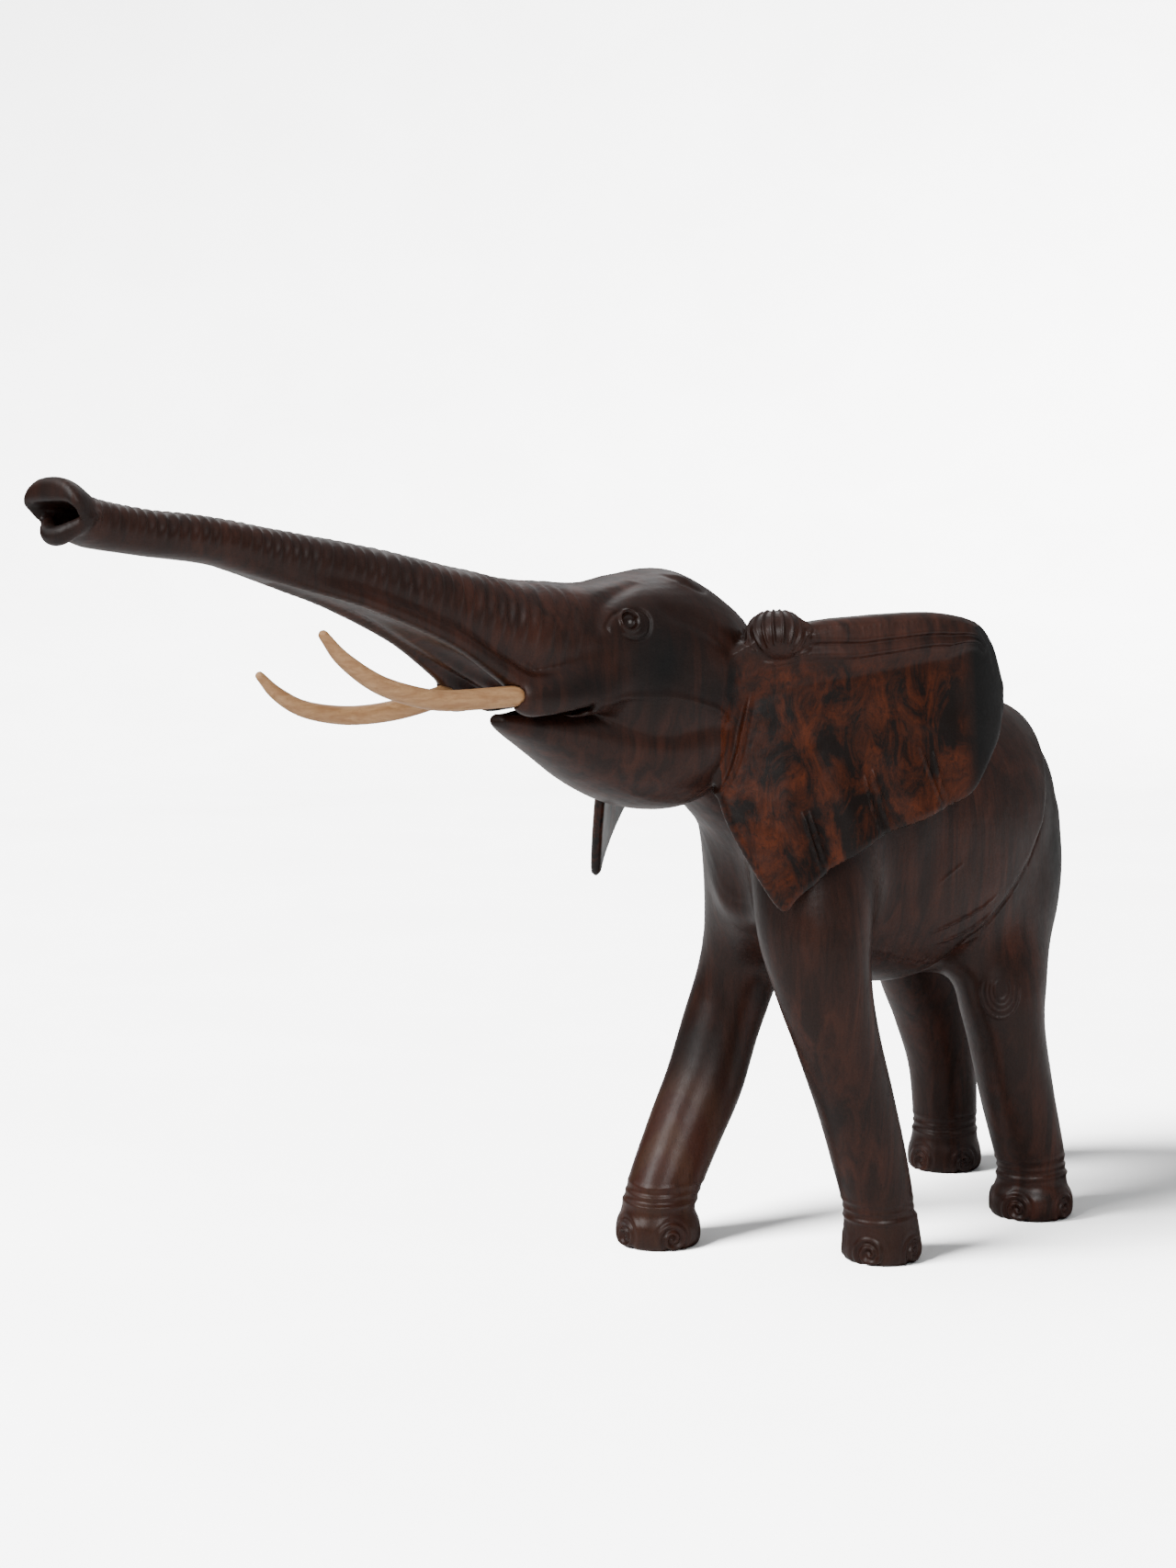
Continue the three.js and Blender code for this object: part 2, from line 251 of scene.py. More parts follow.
def skin(rows, sides, reference=(1, 0, 0), squareness=2.0, under=None):
    """A closed mesh through a superelliptical ring at each row: points, triangles, quads."""
    centre = rows[:, :3]
    along = unit(np.gradient(centre, axis=0))
    reference = np.asarray(reference, float)
    across = unit(reference - along * (along @ reference)[:, None])
    depth = np.cross(across, along)
    angle = np.linspace(0, math.tau, sides, endpoint=False)
    power = np.where(np.sin(angle) < 0, 2.0 / (under or squareness), 2.0 / squareness)
    cosine = np.sign(np.cos(angle)) * np.abs(np.cos(angle)) ** power
    sine = np.sign(np.sin(angle)) * np.abs(np.sin(angle)) ** power
    rings = (centre[:, None, :]
             + across[:, None, :] * (rows[:, None, 3:4] * cosine[None, :, None])
             + depth[:, None, :] * (rows[:, None, 4:5] * sine[None, :, None]))
    points = np.vstack([rings.reshape(-1, 3), centre[:1], centre[-1:]])
    ring = np.arange(sides)
    after = (ring + 1) % sides
    starts = np.arange(len(rows) - 1) * sides
    quads = [np.stack([k + ring, k + after, k + sides + after, k + sides + ring], 1) for k in starts]
    first, last = len(rows) * sides, len(rows) * sides + 1
    final_ring = (len(rows) - 1) * sides
    caps = [np.stack([after, ring, np.full(sides, first)], 1),
            np.stack([final_ring + ring, final_ring + after, np.full(sides, last)], 1)]
    return points, np.vstack(caps), np.vstack(quads)


def loft(stations, sides=48, step=2.5, **section):
    """A closed mesh of an elliptical section swept along a smooth curve through the stations."""
    stations = np.asarray(stations, float)
    length = gaps(stations[:, :3]).sum()
    return skin(spline(stations, max(int(length / step), 6)), sides, **section)


def mirrored(stations):
    return [[-row[0], *row[1:]] for row in stations]


# --- the distance field


def smooth_min(a, b, blend):
    overlap = np.maximum(blend - np.abs(a - b), 0) / blend
    return np.minimum(a, b) - overlap * overlap * blend * 0.25


class Clay:
    """A distance field, in millimetres, in which solids are joined and cut with rounded seams."""

    margin = 4

    def __init__(self, low, high):
        self.start = np.floor(np.array(low) / VOXEL).astype(int)
        size = np.ceil(np.array(high) / VOXEL).astype(int) - self.start
        self.field = np.full(size, FAR, np.float32)

    def window(self, low, high):
        """The first voxel of a box, and the slices of the field that the box covers."""
        low = np.maximum(np.floor(low / VOXEL).astype(int), self.start)
        high = np.minimum(np.ceil(high / VOXEL).astype(int), self.start + self.field.shape)
        return low, tuple(slice(a, b) for a, b in zip(low - self.start, high - self.start))

    def coordinates(self, low, high):
        """The slices that a box covers, and their X, Y and Z coordinates as open grids."""
        start, slices = self.window(np.array(low, float), np.array(high, float))
        axes = np.ogrid[tuple(slice(0, part.stop - part.start) for part in slices)]
        return slices, [(axes[k] + start[k]) * VOXEL for k in range(3)]

    def distance(self, mesh, reach):
        """The slices around a closed mesh, and the signed distance to it there."""
        points, triangles, quads = mesh
        start, slices = self.window(points.min(0) - reach, points.max(0) + reach)
        grid = openvdb.FloatGrid.createLevelSetFromPolygons(
            points.astype(np.float32), triangles=triangles.astype(np.uint32), quads=quads.astype(np.uint32),
            transform=openvdb.createLinearTransform(voxelSize=VOXEL), halfWidth=reach / VOXEL)
        values = np.empty([part.stop - part.start for part in slices], np.float32)
        grid.copyToArray(values, ijk=tuple(int(v) for v in start))
        return slices, values

    def join(self, mesh, blend):
        self.join_values(*self.distance(mesh, blend + self.margin), blend)

    def cut(self, mesh, blend):
        slices, values = self.distance(mesh, blend + self.margin)
        self.trim(slices, -values, blend)

    def trim(self, slices, values, blend):
        """Keeps only what lies on the negative side of the given values."""
        self.field[slices] = -smooth_min(-self.field[slices], -values.astype(np.float32), blend)

    def join_values(self, slices, values, blend):
        self.field[slices] = smooth_min(self.field[slices], values.astype(np.float32), blend)

    def surface(self):
        grid = openvdb.FloatGrid(FAR)
        grid.copyFromArray(self.field, ijk=tuple(int(v) for v in self.start))
        grid.transform = openvdb.createLinearTransform(voxelSize=VOXEL)
        points, quads = grid.convertToQuads(isovalue=0.0)
        return np.asarray(points, float), np.asarray(quads)[:, ::-1]


# --- the ears


def ear_plan(fraction):
    """The point at a fraction along the ear's plan curve."""
    f = np.asarray(fraction, float)[..., None]
    a, b, c = EAR_PLAN
    return (1 - f) ** 2 * a + 2 * f * (1 - f) * b + f * f * c


EAR_LENGTH = gaps(ear_plan(np.linspace(0, 1, 100))).sum()


def ear_coordinates(x, y, z):
    """Fraction along the ear's plan curve, and distance in front of the ear's middle surface."""
    fractions = np.linspace(-0.15, 1.15, 261)
    curve = ear_plan(fractions)
    direction = unit(np.gradient(curve, axis=0))
    normal = np.stack([direction[:, 1], -direction[:, 0]], 1)
    flat = np.stack([np.ravel(x), np.ravel(y)], 1)
    batches = np.array_split(flat, len(flat) // 4000 + 1)
    nearest = np.concatenate([np.argmin(((batch[:, None] - curve) ** 2).sum(2), 1) for batch in batches])
    offset = flat - curve[nearest]
    fraction = fractions[nearest] + (offset * direction[nearest]).sum(1) / EAR_LENGTH
    ahead = (offset * normal[nearest]).sum(1)
    shape = np.shape(x)
    return fraction.reshape(shape), ahead.reshape(shape) - EAR_TILT * (EAR_LEVEL - z)


def outline_distance(u, v, polygon):
    """Signed distance in the plane to a closed polygon, negative inside."""
    best = np.full(np.broadcast(u, v).shape, 1e9)
    inside = np.zeros(best.shape, bool)
    for (ax, ay), (bx, by) in zip(polygon, np.roll(polygon, -1, axis=0)):
        ex, ey = bx - ax, by - ay
        t = clamp(((u - ax) * ex + (v - ay) * ey) / (ex * ex + ey * ey + 1e-9))
        best = np.minimum(best, (u - ax - t * ex) ** 2 + (v - ay - t * ey) ** 2)
        crosses = (ay > v) != (by > v)
        inside ^= crosses & (u < ax + (v - ay) / np.where(ey == 0, 1e-9, ey) * ex)
    return np.where(inside, -np.sqrt(best), np.sqrt(best))


def bump(value, centre, width):
    return np.exp(-((value - centre) / width) ** 2)


def eased(fraction):
    return fraction * fraction * (3 - 2 * fraction)


def smooth_steps(value, knots, heights):
    """A smooth line through the given heights, level at every knot."""
    place = np.clip(np.interp(value, knots, np.arange(len(knots))), 0, len(knots) - 1.001)
    index = place.astype(int)
    share = eased(place - index)
    heights = np.asarray(heights, float)
    return heights[index] * (1 - share) + heights[index + 1] * share


def roll_place(fraction, z, top):
    """How far down the rolled top edge a height is: 0 at the top, 1 where the plain face starts."""
    height = np.interp(fraction, *EAR_ROLL_HEIGHT)
    below = (top - z) / height
    near_knob = np.interp(below, ROLL_KNOTS_AT_KNOB, ROLL_KNOTS)
    away = clamp((fraction - 0.28) / 0.22)
    return near_knob * (1 - away) + below * away


def ear_front(fraction, z, top):
    """How far the ear's front face stands ahead of its middle surface."""
    roll = smooth_steps(roll_place(fraction, z, top), ROLL_KNOTS, ROLL_HEIGHTS)
    roll = roll * clamp((1.0 - fraction) / EAR_ROLL_FADE)
    slant = fraction + (z - FOLD_LEVEL) * FOLD_LEAN
    folds = 0.5 + 0.5 * np.cos(math.tau * (slant - FOLD_START) / FOLD_SPACING)
    hanging = clamp((335 - z) / 50) * clamp((fraction - 0.22) / 0.15)
    dish = 1.5 * bump(fraction, 0.5, 0.35) * bump(z, 330, 30)
    return EAR_FRONT + roll - FOLD_DEPTH * folds * hanging - dish


def add_ear(clay, side, rise):
    """An ear on the given side, its lower edge raised by rise."""
    low, high = np.array(EAR_REGION, float)
    if side < 0:
        low[0], high[0] = -high[0], -low[0]
    slices, (x, y, z) = clay.coordinates(low, high)
    plane_x, plane_y = np.broadcast_arrays(side * x[:, :, 0], y[:, :, 0])
    fraction, ahead = ear_coordinates(plane_x, plane_y, np.full(plane_x.shape, EAR_LEVEL))
    fraction = fraction[:, :, None]
    ahead = ahead[:, :, None] - EAR_TILT * (EAR_LEVEL - z)
    curled = np.clip((fraction - EAR_CURL_START) / (1 - EAR_CURL_START), 0, EAR_CURL_LIMIT)
    ahead = ahead + EAR_CURL * curled**2
    top = spline(EAR_TOP, 60)
    bottom = spline(EAR_BOTTOM, 60)
    bottom[:, 1] += rise
    polygon = np.vstack([bottom, top[::-1]])
    polygon[:, 0] += clamp(polygon[:, 0] - EAR_REACH_START) * EAR_REACH
    polygon[:, 0] *= EAR_LENGTH
    edge = outline_distance(fraction * EAR_LENGTH, z, polygon)
    top_height = np.interp(fraction, top[:, 0], top[:, 1])
    front = ahead - ear_front(fraction, z, top_height)
    back = -ahead - EAR_BACK
    rounded = -smooth_min(-np.maximum(front, back), -edge, EAR_EDGE_ROUNDING)
    clay.join_values(slices, rounded, 2.5)


# --- the whole block


def crest_height(y):
    """Height of the barrel's rear rim."""
    return np.interp(y, *np.transpose(CREST))


def add_barrel(clay):
    """The barrel's core, and the shell to add later, cut back behind and below the crest line."""
    slices, values = clay.distance(loft(BARREL, sides=96, under=FLANK_SQUARENESS), 34)
    y, z = [(np.arange(slices[k].start, slices[k].stop) + clay.start[k]) * VOXEL for k in (1, 2)]
    behind = (crest_height(y)[:, None] - z) * CREST_SLOPE
    shell = -smooth_min(-values, -behind[None], 5.0)
    clay.join_values(slices, values + CREST_DEPTH, 1.0)
    return slices, shell


def foot_loft(x, y, sole):
    """A turned foot: [height, radius] from the floor up into the ankle."""
    profile = [
        (0, sole - 2.5), (3, sole - 0.5), (8, sole), (15, sole - 0.8),
        (22, ANKLE), (27, ANKLE - 1.5), (29, ANKLE - 6),
    ]
    return loft([[x, y, height, radius, radius] for height, radius in profile], step=0.8)


def root_axis(tusk):
    """A tusk's root, and the direction of its tenon."""
    root, following = np.array(tusk[0][:3], float), np.array(tusk[1][:3], float)
    return root, unit(root - following)


def root_peg(tusk, start, end, radius):
    """A cylinder along the tenon's axis, between two distances from the root."""
    root, inward = root_axis(tusk)
    ends = [root + inward * distance for distance in np.linspace(start, end, 6)]
    return loft([[*p, radius, radius] for p in ends], sides=32, step=2)


def trim_trunk_end(clay):
    """Cuts the trunk's flat end, and below it the slant back to the lower lip of the tip."""
    slices, (x, y, z) = clay.coordinates([-40, -545, 430], [40, -480, 485])
    flat = TRUNK_END - y + 0 * (x + z)
    slanted = (TRUNK_END + (TRUNK_SLANT_TOP - z) * TRUNK_SLANT - y + 0 * x) / math.hypot(1, TRUNK_SLANT)
    clay.trim(slices, -smooth_min(-flat, -slanted, 2.0), 4.5)


def shape_block():
    """The whole carved block, without its fine carving: points and faces."""
    clay = Clay([-150, -545, -6], [150, 290, 486])
    slices, shell = add_barrel(clay)
    clay.join(loft(HIND_LEFT_LEG), 20)
    clay.join(loft(HIND_RIGHT_LEG), 20)
    clay.join_values(slices, shell, 3.0)
    clay.join(loft(NECK), 30)
    clay.join(loft(FRONT_LEFT_LEG), 22)
    clay.join(loft(FRONT_RIGHT_LEG), 22)
    clay.join(loft(TAIL, sides=24), 4)
    for x, y, sole, _ in FEET:
        clay.join(foot_loft(x, y, sole), 2.5)
    add_ear(clay, 1, 0)
    add_ear(clay, -1, RIGHT_EAR_RISE)

    head = Clay([-90, -545, 250], [90, -30, 486])
    head.join(loft(HEAD_AND_TRUNK, step=2, squareness=2.25), 2)
    for mirror in (list, mirrored):
        head.join(loft(mirror(FLANGE), sides=28), 5)
        head.join(loft(mirror(LIP), sides=28), 7)
    head.cut(loft(TRUNK_CHANNEL, sides=32), 4)
    trim_trunk_end(head)
    head.cut(loft(NOSTRIL, sides=64, step=1.5, squareness=3.5), 1.5)
    head.join(loft(NOSTRIL_LIP, sides=24, step=1.5, reference=(0, 0, 1)), 1.5)
    head.cut(loft(MOUTH, sides=36), 2)
    head.join(loft(JAW), 2.5)
    for mirror in (list, mirrored):
        head.cut(loft(mirror(MOUTH_SLIT), sides=64), 1.0)
    head.cut(loft(LOWER_LIP_SCOOP, sides=32), 2)
    for tusk in (LEFT_TUSK, RIGHT_TUSK):
        bore_end = TENON_LENGTH + SOCKET_CLEARANCE
        head.cut(root_peg(tusk, -1, bore_end, TENON_RADIUS + SOCKET_CLEARANCE), 0.4)
        head.cut(root_peg(tusk, -RECESS_LENGTH, SOCKET_CLEARANCE, tusk[0][3] + SOCKET_CLEARANCE), 0.6)
    offset = head.start - clay.start
    part = tuple(slice(o, o + n) for o, n in zip(offset, head.field.shape))
    clay.field[part] = smooth_min(clay.field[part], head.field, 3.0)

    slices, place = clay.coordinates([-90, -110, 360], [90, -30, 420])
    for side in SIDES:
        parts = zip(place, on_side(KNOB, side), KNOB_SIZE)
        radius = np.sqrt(sum(((p - middle) / size) ** 2 for p, middle, size in parts))
        clay.join_values(slices, (radius - 1) * min(KNOB_SIZE), 2.0)
    return clay.surface()


# --- carved detail
# Strokes are carved along smooth lines laid on the surface: (points, half width, height), where a
# negative height is a groove. Dabs are soft swellings or hollows: (centre, radius, height).

TRUNK_RINGS = (-196, -512)
RING_SPACING = (8.2, 5.6)
RING_HEIGHT = 1.5
RING_LEAN = 0.3

EYE = (45, -170, 400)
EYE_BALL = 5.0
EYE_POLISH = 11.0
UPPER_LID = [
    (46, -169, 411), (48, -160, 408), (49, -157, 400), (48, -160, 391), (45, -168, 388), (43, -178, 391),
]
LOWER_LID = [(45, -172, 409), (43, -180, 404), (42, -186, 396), (42, -184, 391)]
EYE_STROKES = [(UPPER_LID, 1.3, 1.4), (LOWER_LID, 1.3, 1.0)]
BROW = [(43, -196, 388), (43, -192, 402), (40, -182, 415), (33, -166, 424), (24, -146, 430)]
TEMPLE = [(45, -150, 407), (48, -132, 399), (50, -112, 390), (51, -92, 378)]
CROWN = [(20, -122, 428), (32, -114, 417), (34, -102, 412), (27, -96, 417)]
MOUTH_LINE = [
    (42, -198, 354), (46, -186, 352), (49, -170, 354), (52, -140, 354), (54, -110, 346), (54, -95, 336),
]
HEAD_STROKES = [(BROW, 5.5, 2.6), (TEMPLE, 5.0, 1.8), (CROWN, 2.2, 0.9), (MOUTH_LINE, 2.2, -1.2)]
HEAD_DABS = [
    ((47, -160, 404), 13, -1.6), ((41, -150, 417), 14, -2.2), ((27, -112, 421), 7, -1.8),
    ((48, -128, 408), 15, -1.6), ((49, -150, 376), 16, 1.4), ((40, -196, 362), 9, 1.0),
]
CHEEK_SEAM = [
    (53, -84, 360), (53.5, -87, 348), (53, -90.5, 334), (52, -94, 320),
    (49, -99, 306), (42, -105, 295), (30, -110, 289),
]

CREST_LINE = [
    (77, 89, 172), (78, 102, 187), (77, 120, 197), (76, 148, 224),
    (76, 165, 242), (75, 178, 259), (70, 190, 284), (60, 205, 306),
]

KNOB_GROOVES = 18
KNOB_POLE = (0.42, -0.42, -0.80)
EAR_GROOVES = [
    [(0.305, 287), (0.335, 271), (0.375, 252)], [(0.335, 287), (0.365, 271), (0.402, 253)],
    [(0.535, 307), (0.56, 290), (0.595, 271)], [(0.562, 310), (0.588, 294), (0.622, 276)],
    [(0.725, 323), (0.765, 305), (0.81, 286)], [(0.775, 320), (0.797, 305), (0.822, 289)],
]
FLANK_STROKES = [
    ([(79, 128, 220), (80, 112, 212), (80, 90, 204), (79, 68, 196)], 0.8, -1.2),
    ([(78, 127, 210), (79, 110, 200), (79, 94, 193), (77, 76, 187)], 0.8, -1.2),
    ([(81, 92, 243), (82, 82, 238), (81, 70, 231)], 0.7, -0.6),
]
KNEE = (78, 135, 157)
KNEE_RADII = (5, 8, 11, 14.5)
FRINGE = [(62, 14, 189), (66, 32, 182), (68, 51, 176), (69, 74, 171), (68, 92, 167)]
FRINGE_SPACING = 3.2
ANKLE_RINGS = [(36.2, 0.6, 2.2), (31.6, 0.4, 1.9), (28.0, -1.2, 1.5), (33.8, -0.5, 1.0), (39.6, -0.35, 1.4)]
TOE_SPREAD = (-78, 0, 78)
TOE_HEIGHT = 7.5
TOE_CURL_SPACING = 5.2


def near_line(points, line, reach):
    """Distance to a polyline, and how far along it as a fraction, for the points within reach."""
    line = np.asarray(line, float)
    low, high = line.min(0) - reach, line.max(0) + reach
    chosen = np.flatnonzero(inside(points, low, high))
    place = points[chosen]
    lengths = gaps(line)
    starts = np.concatenate([[0], np.cumsum(lengths)])
    best = np.full(len(chosen), 1e9)
    along = np.zeros(len(chosen))
    for k, length in enumerate(lengths):
        edge = line[k + 1] - line[k]
        t = clamp((place - line[k]) @ edge / max(length**2, 1e-9))
        distance = norms(place - line[k] - t[:, None] * edge)
        closer = distance < best
        best[closer] = distance[closer]
        along[closer] = starts[k] + t[closer] * length
    return chosen, best, along / starts[-1]


def end_fade(along, part):
    """Falls to 0 over the given part of a line at either end."""
    return clamp(np.minimum(along, 1 - along) / part)


class Carver:
    """Heights along the normals, gathered from strokes, dabs and patterns."""

    def __init__(self, points, normals):
        self.points = points
        self.normals = normals
        self.height = np.zeros(len(points))
        self.tree = KDTree(len(points))
        for index, point in enumerate(points):
            self.tree.insert(point, index)
        self.tree.balance()

    def snap(self, place):
        """The surface point nearest a place, and the normal there."""
        found, index, _ = self.tree.find(place)
        return np.array(found), self.normals[index]

    def stroke(self, line, width, height, taper=0.25):
        """A ridge, or a groove where the height is negative, thinning out at both ends."""
        smooth = spline(line, 8 * len(line))
        snapped = np.array([self.snap(place)[0] for place in smooth])
        snapped[1:-1] = (snapped[:-2] + 2 * snapped[1:-1] + snapped[2:]) / 4
        chosen, distance, along = near_line(self.points, snapped, 3 * width + 1)
        ends = end_fade(along, taper)
        self.height[chosen] += height * bump(distance, 0, width) * ends * (2 - ends)

    def dab(self, centre, radius, height):
        """A soft swelling or hollow."""
        distance = norms(self.points - self.snap(centre)[0])
        self.height += height * bump(distance, 0, radius)


def carve_trunk_rings(carver):
    """Saw-toothed folds over the trunk's top, fading out down its sides."""
    axis = spline(HEAD_AND_TRUNK, 300)
    travelled = np.concatenate([[0], np.cumsum(gaps(axis[:, :3]))])
    start, end = np.interp([-TRUNK_RINGS[0], -TRUNK_RINGS[1]], -axis[:, 1], travelled)
    x, y, z = carver.points.T
    along = (axis[:, 2], axis[:, 4], travelled)
    middle, half, arc = [np.interp(-y, -axis[:, 1], values) for values in along]
    arc = arc + (z - middle) * RING_LEAN
    spacing = np.interp(arc, [start, end], RING_SPACING)
    steps = np.arange(0, travelled[-1] + 40)
    counts = np.concatenate([[0], np.cumsum(1 / np.interp(steps, [start, end], RING_SPACING))])[:-1]
    phase = np.interp(arc, steps, counts) + 0.18 * np.sin(arc / 19) + 0.1 * np.sin(arc / 7.3 + x / 9)
    saw = phase % 1
    profile = np.where(saw < 0.72, saw / 0.72, (1 - saw) / 0.28)
    profile = eased(profile) - 0.5
    window = clamp((arc - start) / 26) * clamp((end - arc) / 8)
    upper = clamp(((z - middle) / half + 0.55) / 0.9)
    uneven = 0.85 + 0.25 * np.sin(arc / 11.3 + 1.7) + 0.15 * np.sin(x / 5 + arc / 5)
    size = RING_HEIGHT * spacing / RING_SPACING[0]
    carver.height += profile * window * eased(upper) * uneven * size


def carve_eye(carver, side):
    """A round eyeball in a groove, between its lids."""
    centre, _ = carver.snap(on_side(EYE, side))
    distance = norms(carver.points - centre)
    ball = np.sqrt(clamp(1 - (distance / EYE_BALL) ** 2))
    carver.height += 4.0 * ball - 1.3 * bump(distance, EYE_BALL + 1.0, 1.0)
    for line, width, height in EYE_STROKES:
        carver.stroke(on_side(line, side), width, height)


def carve_knob(carver, side):
    """Grooves fanning over the knob from below, and a hollow in front of it."""
    pole = unit(on_side(KNOB_POLE, side))
    offset = carver.points - on_side(KNOB, side)
    distance = norms(offset / KNOB_SIZE)
    direction = unit(offset)
    sideways = unit(np.cross(pole, (0, 0, 1)))
    upward = np.cross(sideways, pole)
    turn = np.arctan2(direction @ sideways, direction @ upward)
    polar = np.arccos(np.clip(direction @ pole, -1, 1))
    spacing = math.tau / KNOB_GROOVES
    across_groove = np.abs((turn / spacing) % 1 - 0.5) * spacing * np.sin(polar) * KNOB_SIZE[0]
    window = clamp((polar - 0.62) / 0.25) * clamp((2.75 - polar) / 0.3)
    window = window * clamp((1.25 - distance) / 0.15) * clamp((distance - 0.8) / 0.1)
    carver.height += window * (0.4 - 1.5 * bump(across_groove, 0, 0.85))


def ear_point(side, fraction, z):
    """A point near the ear's front face, where its plan curve runs at about 45 degrees."""
    x, y = ear_plan(fraction)
    lean = 0.7 * EAR_TILT * (EAR_LEVEL - z)
    return side * (x + lean), y - lean - 3, z


def carve_ear(carver, side, rise):
    """Ridges along the rolled upper edge, and paired grooves in the hanging part."""
    left = on_side(carver.points, side)
    chosen = np.flatnonzero(inside(left, (40, -112, 340), (150, 70, 412)))
    x, y, z = left[chosen].T
    fraction, ahead = ear_coordinates(x, y, z)
    top = spline(EAR_TOP, 60)
    place = roll_place(fraction, z, np.interp(fraction, top[:, 0], top[:, 1]))
    reach = clamp((1.0 - fraction) / EAR_ROLL_FADE) * clamp((fraction - 0.12) / 0.06)
    reach = reach * (ahead > 1)
    reach = reach * clamp((norms((left[chosen] - KNOB) / KNOB_SIZE) - 1.02) / 0.12)
    carver.height[chosen] += smooth_steps(place, ROLL_KNOTS, ROLL_CARVING) * reach
    for line in EAR_GROOVES:
        carver.stroke([ear_point(side, f, z + rise) for f, z in line], 0.95, -1.5, taper=0.3)


def carve_step(carver, line, proud, cut, reach):
    """Along a line the surface in front stands proud with a crisp edge, and is cut back behind."""
    line = spline(line, 80)
    chosen, distance, along = near_line(carver.points, line, reach * 2)
    place = carver.points[chosen]
    order = np.argsort(line[:, 2])
    behind = place[:, 1] - np.interp(place[:, 2], line[order, 2], line[order, 1])
    step = 1 / (1 + np.exp(np.clip(-behind / 0.6, -40, 40)))
    fade = bump(behind, 0, reach) * clamp(2 - distance / reach)
    carver.height[chosen] += end_fade(along, 0.15) * fade * (proud * (1 - step) - cut * step)


def carve_knee(carver):
    """Cup-shaped lines, one inside another, on the front of the near knee."""
    centre, _ = carver.snap(KNEE)
    offset = carver.points - centre
    sideways = np.hypot(offset[:, 0], offset[:, 1])
    near = (np.abs(offset) < 24).all(1)
    lower = clamp((7 - offset[:, 2]) / 8) * near
    for radius in KNEE_RADII:
        carver.height -= 0.85 * bump(np.hypot(sideways * 1.15, offset[:, 2] * 0.8), radius, 0.75) * lower


def carve_fringe(carver, side):
    """Short notches across the edge where the belly meets the flank."""
    snapped = np.array([carver.snap(place)[0] for place in spline(on_side(FRINGE, side), 40)])
    chosen, distance, along = near_line(carver.points, snapped, 6)
    length = gaps(snapped).sum()
    notch = np.abs((along * length / FRINGE_SPACING) % 1 - 0.5) * FRINGE_SPACING
    carver.height[chosen] -= 1.1 * bump(notch, 0, 0.7) * bump(distance, 0, 2.4) * end_fade(along, 0.1)


def carve_foot(carver, x, y, sole, heading):
    """Uneven ankle rings, and a curl for each toe."""
    offset = carver.points - (x, y, 0)
    radius = np.hypot(offset[:, 0], offset[:, 1])
    z = carver.points[:, 2]
    near = radius < sole + 12
    around = np.arctan2(offset[:, 0], -offset[:, 1])
    z = z + 0.9 * np.sin(around + heading) + 0.4 * np.sin(3 * around)
    wave = sum(height * bump(z, level, width) for level, height, width in ANKLE_RINGS)
    carver.height += near * wave * (0.8 + 0.25 * np.sin(2 * around + heading))
    for spread in TOE_SPREAD:
        angle = math.radians(heading + spread)
        outward = np.array([math.sin(angle), -math.cos(angle), 0])
        sideways = np.array([math.cos(angle), math.sin(angle), 0])
        centre, _ = carver.snap(np.array([x, y, TOE_HEIGHT]) + outward * sole)
        from_toe = carver.points - centre
        distance = norms(from_toe)
        turn = np.arctan2(from_toe[:, 2], from_toe @ sideways) / math.tau
        curl = np.cos(math.tau * (distance / TOE_CURL_SPACING - turn))
        whorl = 0.9 * curl * bump(distance, TOE_CURL_SPACING, 6.0) + 1.8 * bump(distance, 0, 3.0)
        carver.height += near * (whorl + 0.9 * bump(distance, 0, 9.0))


def carving_depth(points, normals):
    """How far each point moves along its normal, in millimetres."""
    carver = Carver(points, normals)
    carve_trunk_rings(carver)
    for side in SIDES:
        carve_eye(carver, side)
        carve_step(carver, on_side(CHEEK_SEAM, side), proud=0.9, cut=2.2, reach=3)
        carve_step(carver, on_side(CREST_LINE, side), proud=0.7, cut=2.4, reach=18)
        carve_knob(carver, side)
        carve_ear(carver, side, 0 if side > 0 else RIGHT_EAR_RISE)
        carve_fringe(carver, side)
        for line, width, height in HEAD_STROKES + FLANK_STROKES:
            carver.stroke(on_side(line, side), width, height)
        for centre, radius, height in HEAD_DABS:
            carver.dab(on_side(centre, side), radius, height)
    carve_knee(carver)
    for foot in FEET:
        carve_foot(carver, *foot)
    return carver.height


# --- refinement

RELAX_PASSES = 3


def folded(points):
    """The points with their right side laid over the left."""
    return points * np.where(points[:, :1] < 0, [-1, 1, 1], [1, 1, 1])


def fine_places(points):
    """The head, trunk, ears' fronts, feet and flanks, where the carving is fine."""
    left = folded(points)
    head = inside(left, (-1, -545, 285), (62, -60, 486))
    ear = inside(left, (44, -110, 225), (150, 70, 415)) & (ear_coordinates(*left.T)[1] > 0)
    feet = points[:, 2] < 44
    flank = inside(left, (60, 10, 130), (100, 150, 268))
    return head | ear | feet | flank


def finest_places(points):
    """The eyes, ear knobs, toes and trunk tip."""
    left = folded(points)
    eye = norms(left - EYE) < 17
    knob = norms(left - KNOB) < 26
    toes = points[:, 2] < 18
    tip = points[:, 1] < -494
    return eye | knob | toes | tip


